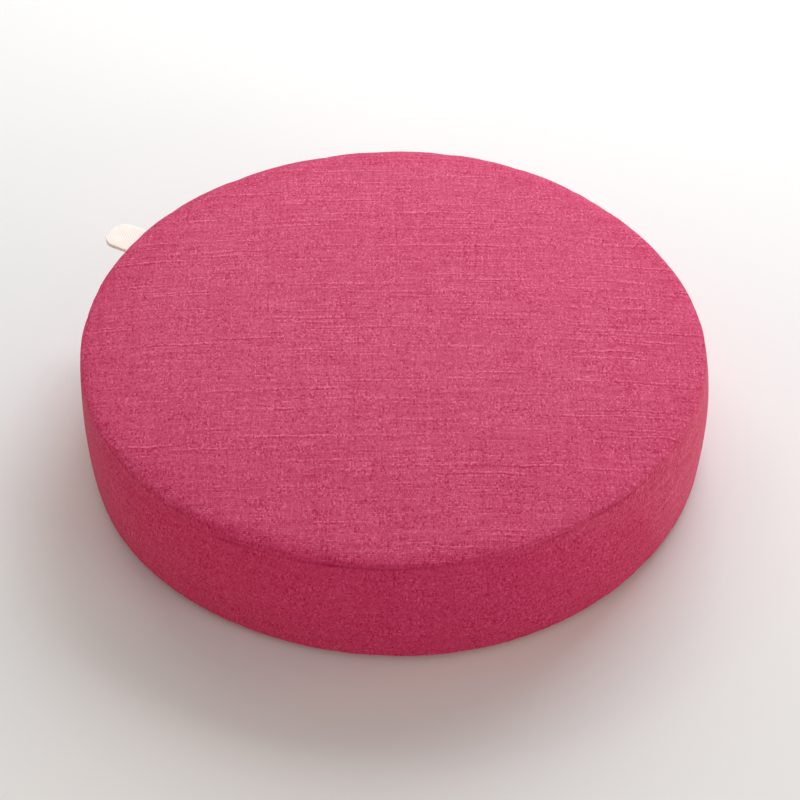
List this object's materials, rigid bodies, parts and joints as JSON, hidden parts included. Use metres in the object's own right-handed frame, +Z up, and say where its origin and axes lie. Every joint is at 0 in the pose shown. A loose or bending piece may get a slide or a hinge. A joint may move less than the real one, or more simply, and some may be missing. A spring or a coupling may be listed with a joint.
{
  "type": "zafu meditation cushion",
  "caption": "Round boxed floor cushion in slub linen, with a low crown, a flat sole, a drawn-in seam round its upper edge and a short folded tape tab in that seam.",
  "frame": {"origin": "on the floor, under the middle of the cushion", "axes": "+Z up through the crown, -Y towards the cushion's front, +X to its right"},
  "size_m": [0.4035, 0.4007, 0.093],
  "materials": {
    "linen": "matt slub weave, dyed raspberry pink",
    "tape": "matt unbleached cotton tape"
  },
  "bodies": {
    "root": {"cushion": "linen", "tab": "tape"}
  },
  "joints": []
}
